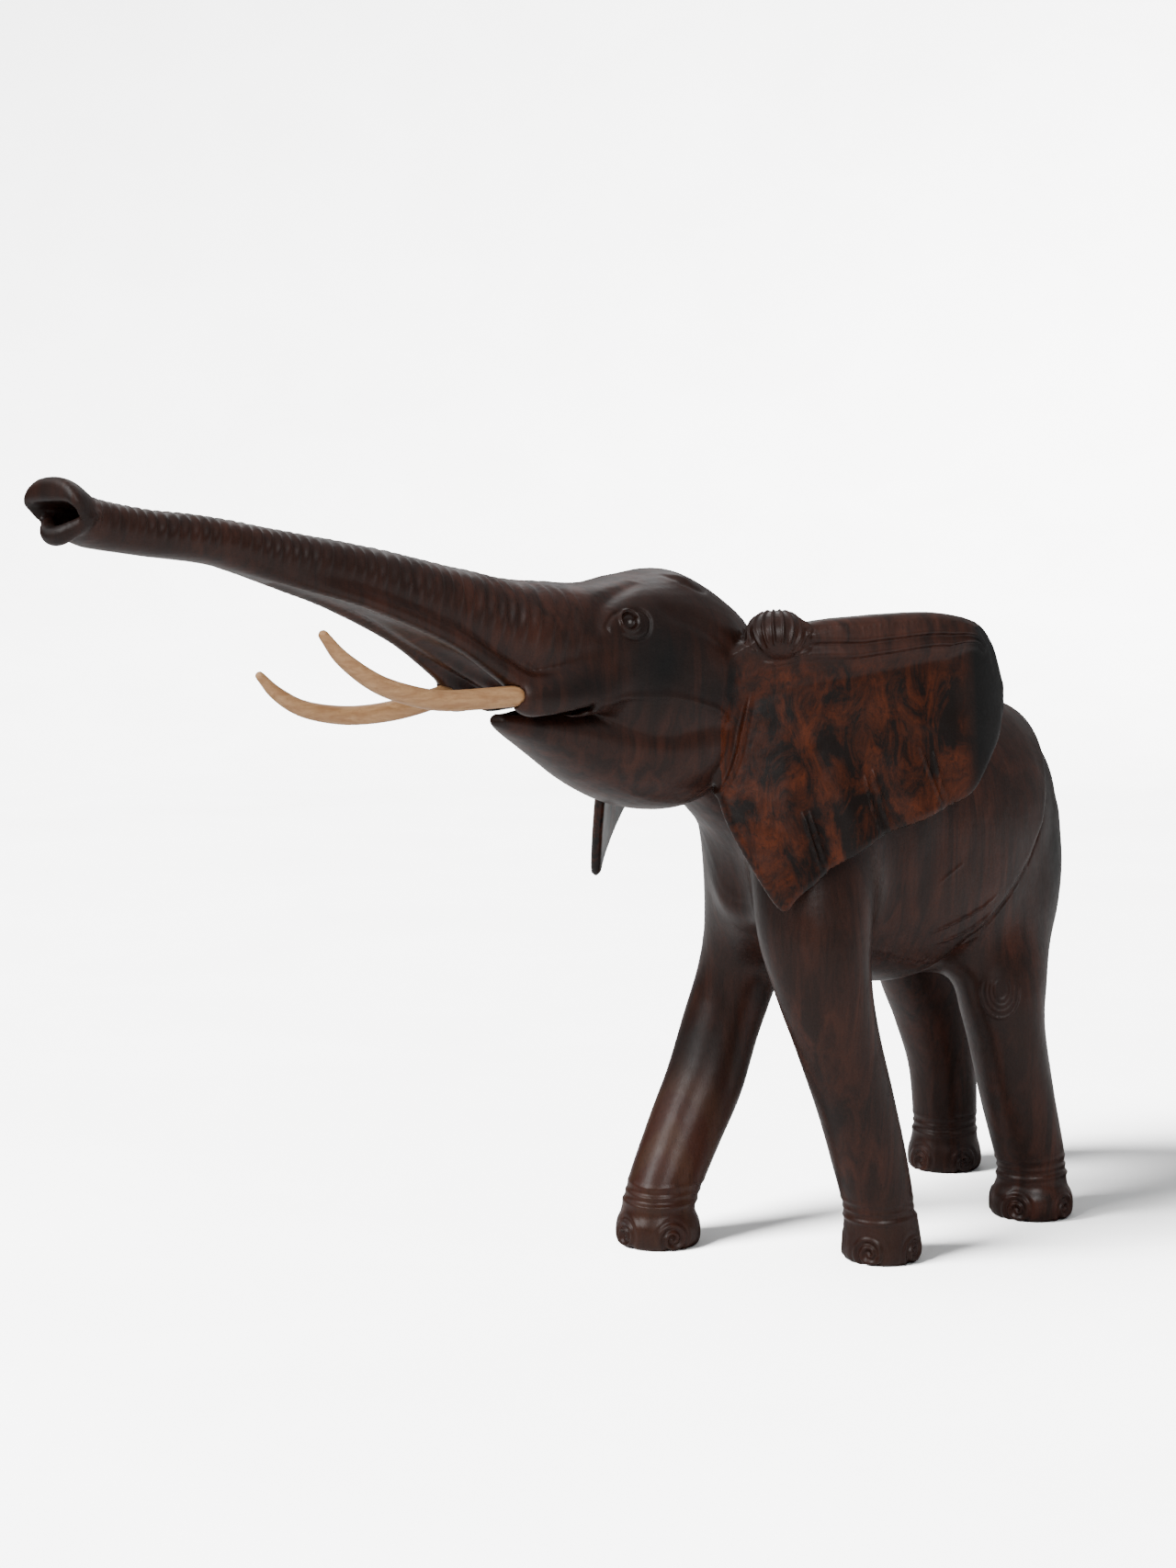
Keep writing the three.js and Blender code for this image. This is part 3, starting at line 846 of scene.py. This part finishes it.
def refine(mesh, wanted):
    """Splits the wanted faces into quarters and relaxes the surface there."""
    work = bmesh.new()
    work.from_mesh(mesh)
    centres = np.array([face.calc_center_median() for face in work.faces])
    chosen = wanted(centres)
    edges = {edge for face, pick in zip(work.faces, chosen) if pick for edge in face.edges}
    split = bmesh.ops.subdivide_edges(work, edges=list(edges), cuts=1, use_grid_fill=True)
    faces = [item for item in split["geom_inner"] if isinstance(item, bmesh.types.BMFace)]
    vertices = list({vertex for face in faces for vertex in face.verts})
    axes = {"use_axis_" + axis: True for axis in "xyz"}
    for _ in range(RELAX_PASSES):
        bmesh.ops.smooth_vert(work, verts=vertices, factor=0.5, **axes)
    work.to_mesh(mesh)
    work.free()
    mesh.update()


# --- paint
# Coloured places: (centre, radii, strength). The dark ones are the wood's own near-black together with
# painted shade, in the hollows by the eye, mouth, jaw seam and trunk tip and on the haunch that turns away
# from the light; they are the same on both sides.

DARK_WOOD_AND_SHADE_PLACES = [
    ((50, -150, 374), (20, 28, 30), 1.0), ((44, -205, 362), (16, 26, 12), 0.8),
    ((52, -110, 356), (20, 26, 14), 0.7), ((0, -524, 455), (30, 10, 16), 0.7),
    ((60, 214, 244), (40, 34, 66), 0.95), ((62, -4, 120), (26, 20, 34), 0.8),
]
PALE_PLACES = [((-62, -20, 60), (40, 50, 60), 1.0), ((62, 40, 20), (30, 34, 26), 0.35)]
# Where along the ear the painted shade on its outer rim, which turns away from the light, begins.
EAR_RIM_SHADE_START = 0.87
FIGURE_END = 0.93


def strongest(points, places):
    """At each point the strongest of some soft-edged places."""
    amount = np.zeros(len(points))
    for centre, radii, strength in places:
        distance = norms((points - centre) / radii)
        amount = np.maximum(amount, strength * bump(distance, 0, 1))
    return amount


def paint(mesh, points):
    """Per-vertex amounts that steer the wood's colour: figured ear wood, pale places, and dark places that
    are partly black wood and partly painted shade.
    """
    left = folded(points)
    fraction, ahead = ear_coordinates(*left.T)
    ear = (np.abs(ahead) < 14) & (fraction > -0.02) & inside(left, (50, -110, 222), (150, 90, 392))
    figure = ear * clamp((FIGURE_END - fraction) / 0.1) * clamp((378 - points[:, 2]) / 12)
    # Painted shade: the ear's outer rim, turned away from the light, is painted near-black.
    rim = ear * clamp((fraction - EAR_RIM_SHADE_START) / 0.05)
    # Near-black paint: the wood's own black, and painted shade in the hollows, on the haunch and on the
    # ear's rim.
    dark_wood_and_shade = np.maximum(strongest(left, DARK_WOOD_AND_SHADE_PLACES), rim)
    pale = strongest(points, PALE_PLACES)
    polish = np.exp(-(norms(left - EYE) / EYE_POLISH) ** 4)
    for name, values in (("figure", figure), ("dark_wood_and_shade", dark_wood_and_shade), ("pale", pale), ("polish", polish)):
        attribute = mesh.attributes.new(name, "FLOAT", "POINT")
        attribute.data.foreach_set("value", values.astype(np.float32))


# --- materials

HEARTWOOD = (0.023, 0.0092, 0.0062, 1)
REDWOOD = (0.068, 0.0215, 0.0125, 1)
PALEWOOD = (0.085, 0.035, 0.019, 1)
BURL = (0.115, 0.0235, 0.0058, 1)
BURL_DARK = (0.0080, 0.0032, 0.0020, 1)
# Near-black: the wood's dark fibres, and the painted shade of the dark places.
BLACK_WOOD_AND_SHADE = (0.0030, 0.0022, 0.0020, 1)
TUSK_PALE = (0.74, 0.43, 0.21, 1)
TUSK_DEEP = (0.52, 0.26, 0.115, 1)
WOOD_ROUGHNESS = (0.28, 0.45)
POLISHED = 0.55
DARK_PLACE_ROUGHNESS = 0.2
TUSK_ROUGHNESS = (0.36, 0.52)


def node(tree, kind, inputs=(), **settings):
    """A shader node whose inputs are constants or other nodes' outputs.

    The helpers below find their node tree from their first input, which is another node's output.
    """
    made = tree.nodes.new(kind)
    for name, value in settings.items():
        setattr(made, name, value)
    for name, value in dict(inputs).items():
        if isinstance(value, bpy.types.NodeSocket):
            tree.links.new(value, made.inputs[name])
        else:
            made.inputs[name].default_value = value
    return made


def ramp(factor, low, high, first=0.0, last=1.0):
    """A factor between low and high, carried to a value from first to last."""
    limits = {"From Min": low, "From Max": high, "To Min": first, "To Max": last}
    return node(factor.id_data, "ShaderNodeMapRange", {"Value": factor, **limits}).outputs["Result"]


def mix(factor, first, second):
    made = node(factor.id_data, "ShaderNodeMix", {"Factor": factor}, data_type="RGBA")
    sockets = [socket for socket in made.inputs if socket.type == "RGBA"]
    for socket, colour in zip(sockets, (first, second)):
        if isinstance(colour, bpy.types.NodeSocket):
            factor.id_data.links.new(colour, socket)
        else:
            socket.default_value = colour
    return next(socket for socket in made.outputs if socket.type == "RGBA")


def product(first, second):
    return node(first.id_data, "ShaderNodeMath", {0: first, 1: second}, operation="MULTIPLY").outputs[0]


def total(first, second):
    return node(first.id_data, "ShaderNodeMath", {0: first, 1: second}, operation="ADD").outputs[0]


def dot(first, second):
    made = node(first.id_data, "ShaderNodeVectorMath", {0: first, 1: second}, operation="DOT_PRODUCT")
    return made.outputs["Value"]


def bumps(height, strength, distance, under=None):
    """A normal roughened by a height, on top of another where one is given."""
    inputs = {"Height": height, "Strength": strength, "Distance": distance}
    if under is not None:
        inputs["Normal"] = under
    return node(height.id_data, "ShaderNodeBump", inputs).outputs["Normal"]


def noise(place, scale, detail=4.0, roughness=0.5, distortion=0.0):
    return node(place.id_data, "ShaderNodeTexNoise", {
        "Vector": place, "Scale": scale, "Detail": detail, "Roughness": roughness,
        "Distortion": distortion}).outputs["Fac"]


def stretched(tree, scale=(1, 1, 1)):
    """Object coordinates, stretched along the axes whose scale is under 1."""
    place = node(tree, "ShaderNodeTexCoord").outputs["Object"]
    return node(tree, "ShaderNodeMapping", {"Vector": place, "Scale": scale}).outputs["Vector"]


def painted(tree, name):
    """An amount painted on the mesh's points."""
    return node(tree, "ShaderNodeAttribute", attribute_name=name).outputs["Fac"]


def new_material(name):
    material = bpy.data.materials.new(name)
    material.use_nodes = True
    return material, material.node_tree, material.node_tree.nodes["Principled BSDF"]


def wood_material(name):
    """Dark waxed wood with an upright grain, figured and redder on the ears, and near-black in places,
    partly as painted shade.
    """
    material, tree, shader = new_material(name)
    along_grain = stretched(tree, (1, 1, 0.13))
    plain = stretched(tree)
    streaks = noise(along_grain, 95, 6, 0.62, 0.8)
    fibres = noise(along_grain, 620, 3, 0.6)
    clouds = noise(plain, 11, 3, 0.55, 0.6)
    rings = node(tree, "ShaderNodeTexWave", {
        "Vector": stretched(tree, (1, 1, 0.22)), "Scale": 17, "Distortion": 7, "Detail": 3,
        "Detail Scale": 2.2}, wave_type="RINGS", rings_direction="Z").outputs["Fac"]
    redness = product(ramp(streaks, 0.40, 0.64), ramp(clouds, 0.30, 0.60))
    colour = mix(redness, HEARTWOOD, REDWOOD)
    figured = mix(ramp(rings, 0.35, 0.9), REDWOOD, PALEWOOD)
    colour = mix(painted(tree, "pale"), colour, figured)
    blotches = noise(stretched(tree, (1, 1, 0.5)), 52, 8, 0.7, 0.9)
    speckles = noise(plain, 210, 4, 0.7, 0.4)
    burl = mix(ramp(blotches, 0.42, 0.64), BURL_DARK, BURL)
    burl = mix(product(ramp(speckles, 0.54, 0.66), 0.6), burl, BURL_DARK)
    colour = mix(painted(tree, "figure"), colour, burl)
    # Painted shade and the wood's own black, laid over the colour where the mesh is painted dark.
    shade_and_black_amount = product(painted(tree, "dark_wood_and_shade"), ramp(clouds, 0.12, 0.44))
    colour = mix(shade_and_black_amount, colour, BLACK_WOOD_AND_SHADE)
    colour = mix(product(ramp(fibres, 0.56, 0.7), 0.35), colour, BLACK_WOOD_AND_SHADE)
    tree.links.new(colour, shader.inputs["Base Color"])
    wear = ramp(noise(plain, 28, 5, 0.6), 0.3, 0.7, *WOOD_ROUGHNESS)
    waxed = ramp(painted(tree, "polish"), 0.0, 1.0, 1.0, POLISHED)
    # The places painted dark, painted shade among them, are made more matt.
    matt_where_dark = product(painted(tree, "dark_wood_and_shade"), DARK_PLACE_ROUGHNESS)
    tree.links.new(total(product(wear, waxed), matt_where_dark), shader.inputs["Roughness"])
    shader.inputs["Specular IOR Level"].default_value = 0.34
    facets = bumps(noise(plain, 85, 2, 0.5), 0.16, 0.002)
    tree.links.new(bumps(fibres, 0.22, 0.0003, facets), shader.inputs["Normal"])
    return material


def tusk_material(name):
    """Light orange-tan wood with a fine speckled grain along the tusk."""
    material, tree, shader = new_material(name)
    grain = stretched(tree, (1, 0.14, 1))
    streaks = noise(grain, 420, 5, 0.6, 0.4)
    specks = noise(stretched(tree, (1, 0.4, 1)), 900, 3, 0.7)
    clouds = noise(stretched(tree), 30, 3, 0.5)
    colour = mix(ramp(streaks, 0.35, 0.65), TUSK_PALE, TUSK_DEEP)
    colour = mix(product(ramp(specks, 0.56, 0.68), 0.6), colour, TUSK_DEEP)
    colour = mix(product(ramp(clouds, 0.45, 0.75), 0.5), colour, TUSK_DEEP)
    tree.links.new(colour, shader.inputs["Base Color"])
    tree.links.new(ramp(clouds, 0.3, 0.7, *TUSK_ROUGHNESS), shader.inputs["Roughness"])
    tree.links.new(bumps(streaks, 0.2, 0.0004), shader.inputs["Normal"])
    return material


# --- pieces


def sole_shift():
    """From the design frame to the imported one, by the front left sole's mount."""
    sole = next(mount for mount in frame["record"]["mounts"] if mount["name"] == "front_left_sole")
    x, y, _, _ = FEET[0]
    return np.array(sole["pos_m"]) - np.array([x, y, 0]) * MM


SHIFT = sole_shift()


def to_frame(points):
    """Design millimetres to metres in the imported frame."""
    return np.asarray(points, float) * MM + SHIFT


def add_object(name, data):
    made = bpy.data.objects.new(name, data)
    bpy.context.scene.collection.objects.link(made)
    return made


def add_piece(name, mesh, material):
    mesh.materials.append(material)
    mesh.shade_smooth()
    return add_object(name, mesh)


def make_mesh(name, points, faces):
    """A mesh in the units and frame of its points."""
    mesh = bpy.data.meshes.new(name)
    mesh.from_pydata(points.tolist(), [], [list(map(int, face)) for face in faces])
    mesh.update()
    return mesh


def read_vectors(collection, name):
    values = np.empty(len(collection) * 3)
    collection.foreach_get(name, values)
    return values.reshape(-1, 3)


def make_body(material):
    """The carved block: the field's surface, refined where the carving is fine, then carved and painted."""
    mesh = make_mesh("elephant_carving", *shape_block())
    refine(mesh, fine_places)
    refine(mesh, finest_places)
    points = read_vectors(mesh.vertices, "co")
    normals = read_vectors(mesh.vertex_normals, "vector")
    points = points + normals * carving_depth(points, normals)[:, None]
    points[:, 2] = np.maximum(points[:, 2], 0)
    paint(mesh, points)
    mesh.vertices.foreach_set("co", to_frame(points).ravel())
    mesh.update()
    piece = add_piece("elephant_carving", mesh, material)
    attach(piece, "elephant")
    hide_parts("carved_body")


def make_tusk(name, tusk, material):
    """A tapered tusk with a rounded tip, and its tenon."""
    rows = spline([[*row, row[3]] for row in tusk], TUSK_RINGS)
    root, inward = root_axis(tusk)
    tip = rows[-1]
    forward = unit(rows[-1][:3] - rows[-2][:3])
    cap = [[*(tip[:3] + forward * tip[3] * math.sin(a)), tip[3] * math.cos(a), tip[3] * math.cos(a)]
           for a in np.radians(TUSK_END_TURNS)]
    peg = [[*(root + inward * depth), TENON_RADIUS, TENON_RADIUS] for depth in TENON_RINGS]
    stations = np.vstack([peg, rows, cap])
    points, triangles, quads = skin(stations, TUSK_SIDES)
    mesh = make_mesh(name + "_wood", to_frame(points), list(triangles) + list(quads))
    piece = add_piece(name + "_wood", mesh, material)
    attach(piece, name)
    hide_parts(name)


# --- studio

# The camera, in degrees and design millimetres; its lens in millimetres on a 36 mm sensor.
CAMERA_AZIMUTH = 44.7
CAMERA_PITCH = 5.2
CAMERA_HEIGHT = 447
CAMERA_DISTANCE = 1693
CAMERA_OFFSET = -113
CAMERA_LENS = 63.27
CAMERA_SENSOR = 36

# The sweep, in metres: a flat floor, then a quarter circle up to a low wall.
SWEEP_RADIUS = 3.2
SWEEP_CURVE = 2.2
SWEEP_STEPS = 24
SWEEP_SIDES = 96
SWEEP_PALE = (0.86, 0.86, 0.86, 1)
SWEEP_GREY = (0.80, 0.795, 0.79, 1)
SWEEP_FLOOR_BOUNCE = (0.088, 0.088, 0.088, 1)
SWEEP_WALL_BOUNCE = (0.025, 0.025, 0.025, 1)
SWEEP_SHADE_GLOW = 3.2
SWEEP_SUN = 38
SWEEP_SUN_SPREAD = 28
SWEEP_SUN_DIRECTION = (-0.20, -0.74, 0.64)

# The room: brighter on one side. Lights: name, place and target in metres, size, power in watts.
ROOM_COLOUR = (0.97, 0.985, 1.0, 1)
ROOM_BRIGHT_SIDE = (-0.45, -0.80, 0.40)
ROOM_DARK = 0.10
ROOM_BRIGHT = 0.85
LIGHTS = [
    ("key", (-0.62, -2.3, 1.8), (0, 0, 0.25), 1.3, 42),
    ("fill", (1.7, -1.1, 1.5), (0, -0.1, 0.3), 0.9, 20),
    ("window", (-1.5, 1.5, 2.0), (0, -0.05, 0.25), 1.5, 7),
]


def make_camera():
    azimuth = math.radians(CAMERA_AZIMUTH)
    across = np.array([math.cos(azimuth), math.sin(azimuth), 0])
    back = np.array([math.sin(azimuth), -math.cos(azimuth), 0])
    place = back * CAMERA_DISTANCE + across * CAMERA_OFFSET + [0, 0, CAMERA_HEIGHT]
    camera = add_object("camera", bpy.data.cameras.new("camera"))
    camera.data.sensor_width = CAMERA_SENSOR
    camera.data.lens = CAMERA_LENS
    camera.location = to_frame(place)
    camera.rotation_euler = (math.radians(90 - CAMERA_PITCH), 0, azimuth)
    bpy.context.scene.camera = camera


def sweep_material():
    """Pale and faintly scuffed; only the camera sees it bright, so its glare stays off the wood."""
    material, tree, shader = new_material("studio_sweep")
    plain = stretched(tree)
    scuffs = ramp(noise(plain, 3.5, 6, 0.6, 0.5), 0.3, 0.75)
    normal = node(tree, "ShaderNodeNewGeometry").outputs["Normal"]
    upward = node(tree, "ShaderNodeSeparateXYZ", {"Vector": normal}).outputs["Z"]
    level = ramp(upward, 0.9, 1.0)
    bounce = mix(level, SWEEP_WALL_BOUNCE, SWEEP_FLOOR_BOUNCE)
    seen = node(tree, "ShaderNodeLightPath").outputs["Is Camera Ray"]
    colour = mix(seen, bounce, mix(scuffs, SWEEP_PALE, SWEEP_GREY))
    sunlit = dot(normal, SWEEP_SUN_DIRECTION)
    glow = ramp(sunlit, 0.0, SWEEP_SUN_DIRECTION[2], SWEEP_SHADE_GLOW, 0.0)
    tree.links.new(colour, shader.inputs["Base Color"])
    tree.links.new(product(seen, glow), shader.inputs["Emission Strength"])
    tree.links.new(bumps(noise(plain, 60, 4), 0.05, 0.001), shader.inputs["Normal"])
    shader.inputs["Emission Color"].default_value = SWEEP_PALE
    shader.inputs["Roughness"].default_value = 0.62
    shader.inputs["Specular IOR Level"].default_value = 0.0
    return material


def make_sweep():
    """A round pale sweep: a flat floor whose rim curves up all the way round."""
    turn = np.linspace(0, math.pi / 2, SWEEP_STEPS)
    flat = SWEEP_RADIUS * np.array([0.3, 0.6])
    radii = np.concatenate([flat, SWEEP_RADIUS + SWEEP_CURVE * np.sin(turn)])
    heights = np.concatenate([0 * flat, SWEEP_CURVE * (1 - np.cos(turn))])
    around = np.linspace(0, math.tau, SWEEP_SIDES, endpoint=False)
    rings = [np.stack([radius * np.cos(around), radius * np.sin(around), np.full(SWEEP_SIDES, height)], 1)
             for radius, height in zip(radii, heights)]
    points = np.vstack([*rings, [[0, 0, 0]]])
    ring = np.arange(SWEEP_SIDES)
    after = (ring + 1) % SWEEP_SIDES
    faces = [(len(points) - 1, a, b) for a, b in zip(ring, after)]
    for low in range(0, (len(radii) - 1) * SWEEP_SIDES, SWEEP_SIDES):
        high = low + SWEEP_SIDES
        faces += [(low + a, high + a, high + b, low + b) for a, b in zip(ring, after)]
    sweep = add_piece("studio_sweep", make_mesh("studio_sweep", points, faces), sweep_material())
    return sweep


def add_light(light, direction):
    """The light in the scene, shining along a direction."""
    holder = add_object(light.name, light)
    holder.rotation_euler = Vector(direction).to_track_quat("-Z", "Y").to_euler()
    return holder


def light_sweep(sweep):
    """A soft sun that falls on the sweep alone, so that the elephant's shadow lies on a pale floor."""
    light = bpy.data.lights.new("sweep_sun", "SUN")
    light.energy = SWEEP_SUN
    light.angle = math.radians(SWEEP_SUN_SPREAD)
    holder = add_light(light, -Vector(SWEEP_SUN_DIRECTION))
    lit = bpy.data.collections.new("lit_by_sweep_sun")
    lit.objects.link(sweep)
    holder.light_linking.receiver_collection = lit


def area_light(name, place, target, size, power):
    light = bpy.data.lights.new(name, "AREA")
    light.shape = "SQUARE"
    light.size = size
    light.energy = power
    add_light(light, Vector(target) - Vector(place)).location = place


def make_studio():
    light_sweep(make_sweep())
    for name, place, target, size, power in LIGHTS:
        area_light(name, place, target, size, power)


def make_room():
    """Soft light from all round, brighter on one side."""
    world = bpy.data.worlds.new("studio")
    world.use_nodes = True
    background = world.node_tree.nodes["Background"]
    background.inputs["Color"].default_value = ROOM_COLOUR
    tree = world.node_tree
    direction = node(tree, "ShaderNodeTexCoord").outputs["Generated"]
    strength = ramp(dot(direction, ROOM_BRIGHT_SIDE), -1.0, 1.0, ROOM_DARK, ROOM_BRIGHT)
    tree.links.new(strength, background.inputs["Strength"])
    bpy.context.scene.world = world


make_camera()
make_studio()
make_room()
make_body(wood_material("dark_wood"))
light_wood = tusk_material("tusk_wood")
make_tusk("left_tusk", LEFT_TUSK, light_wood)
make_tusk("right_tusk", RIGHT_TUSK, light_wood)
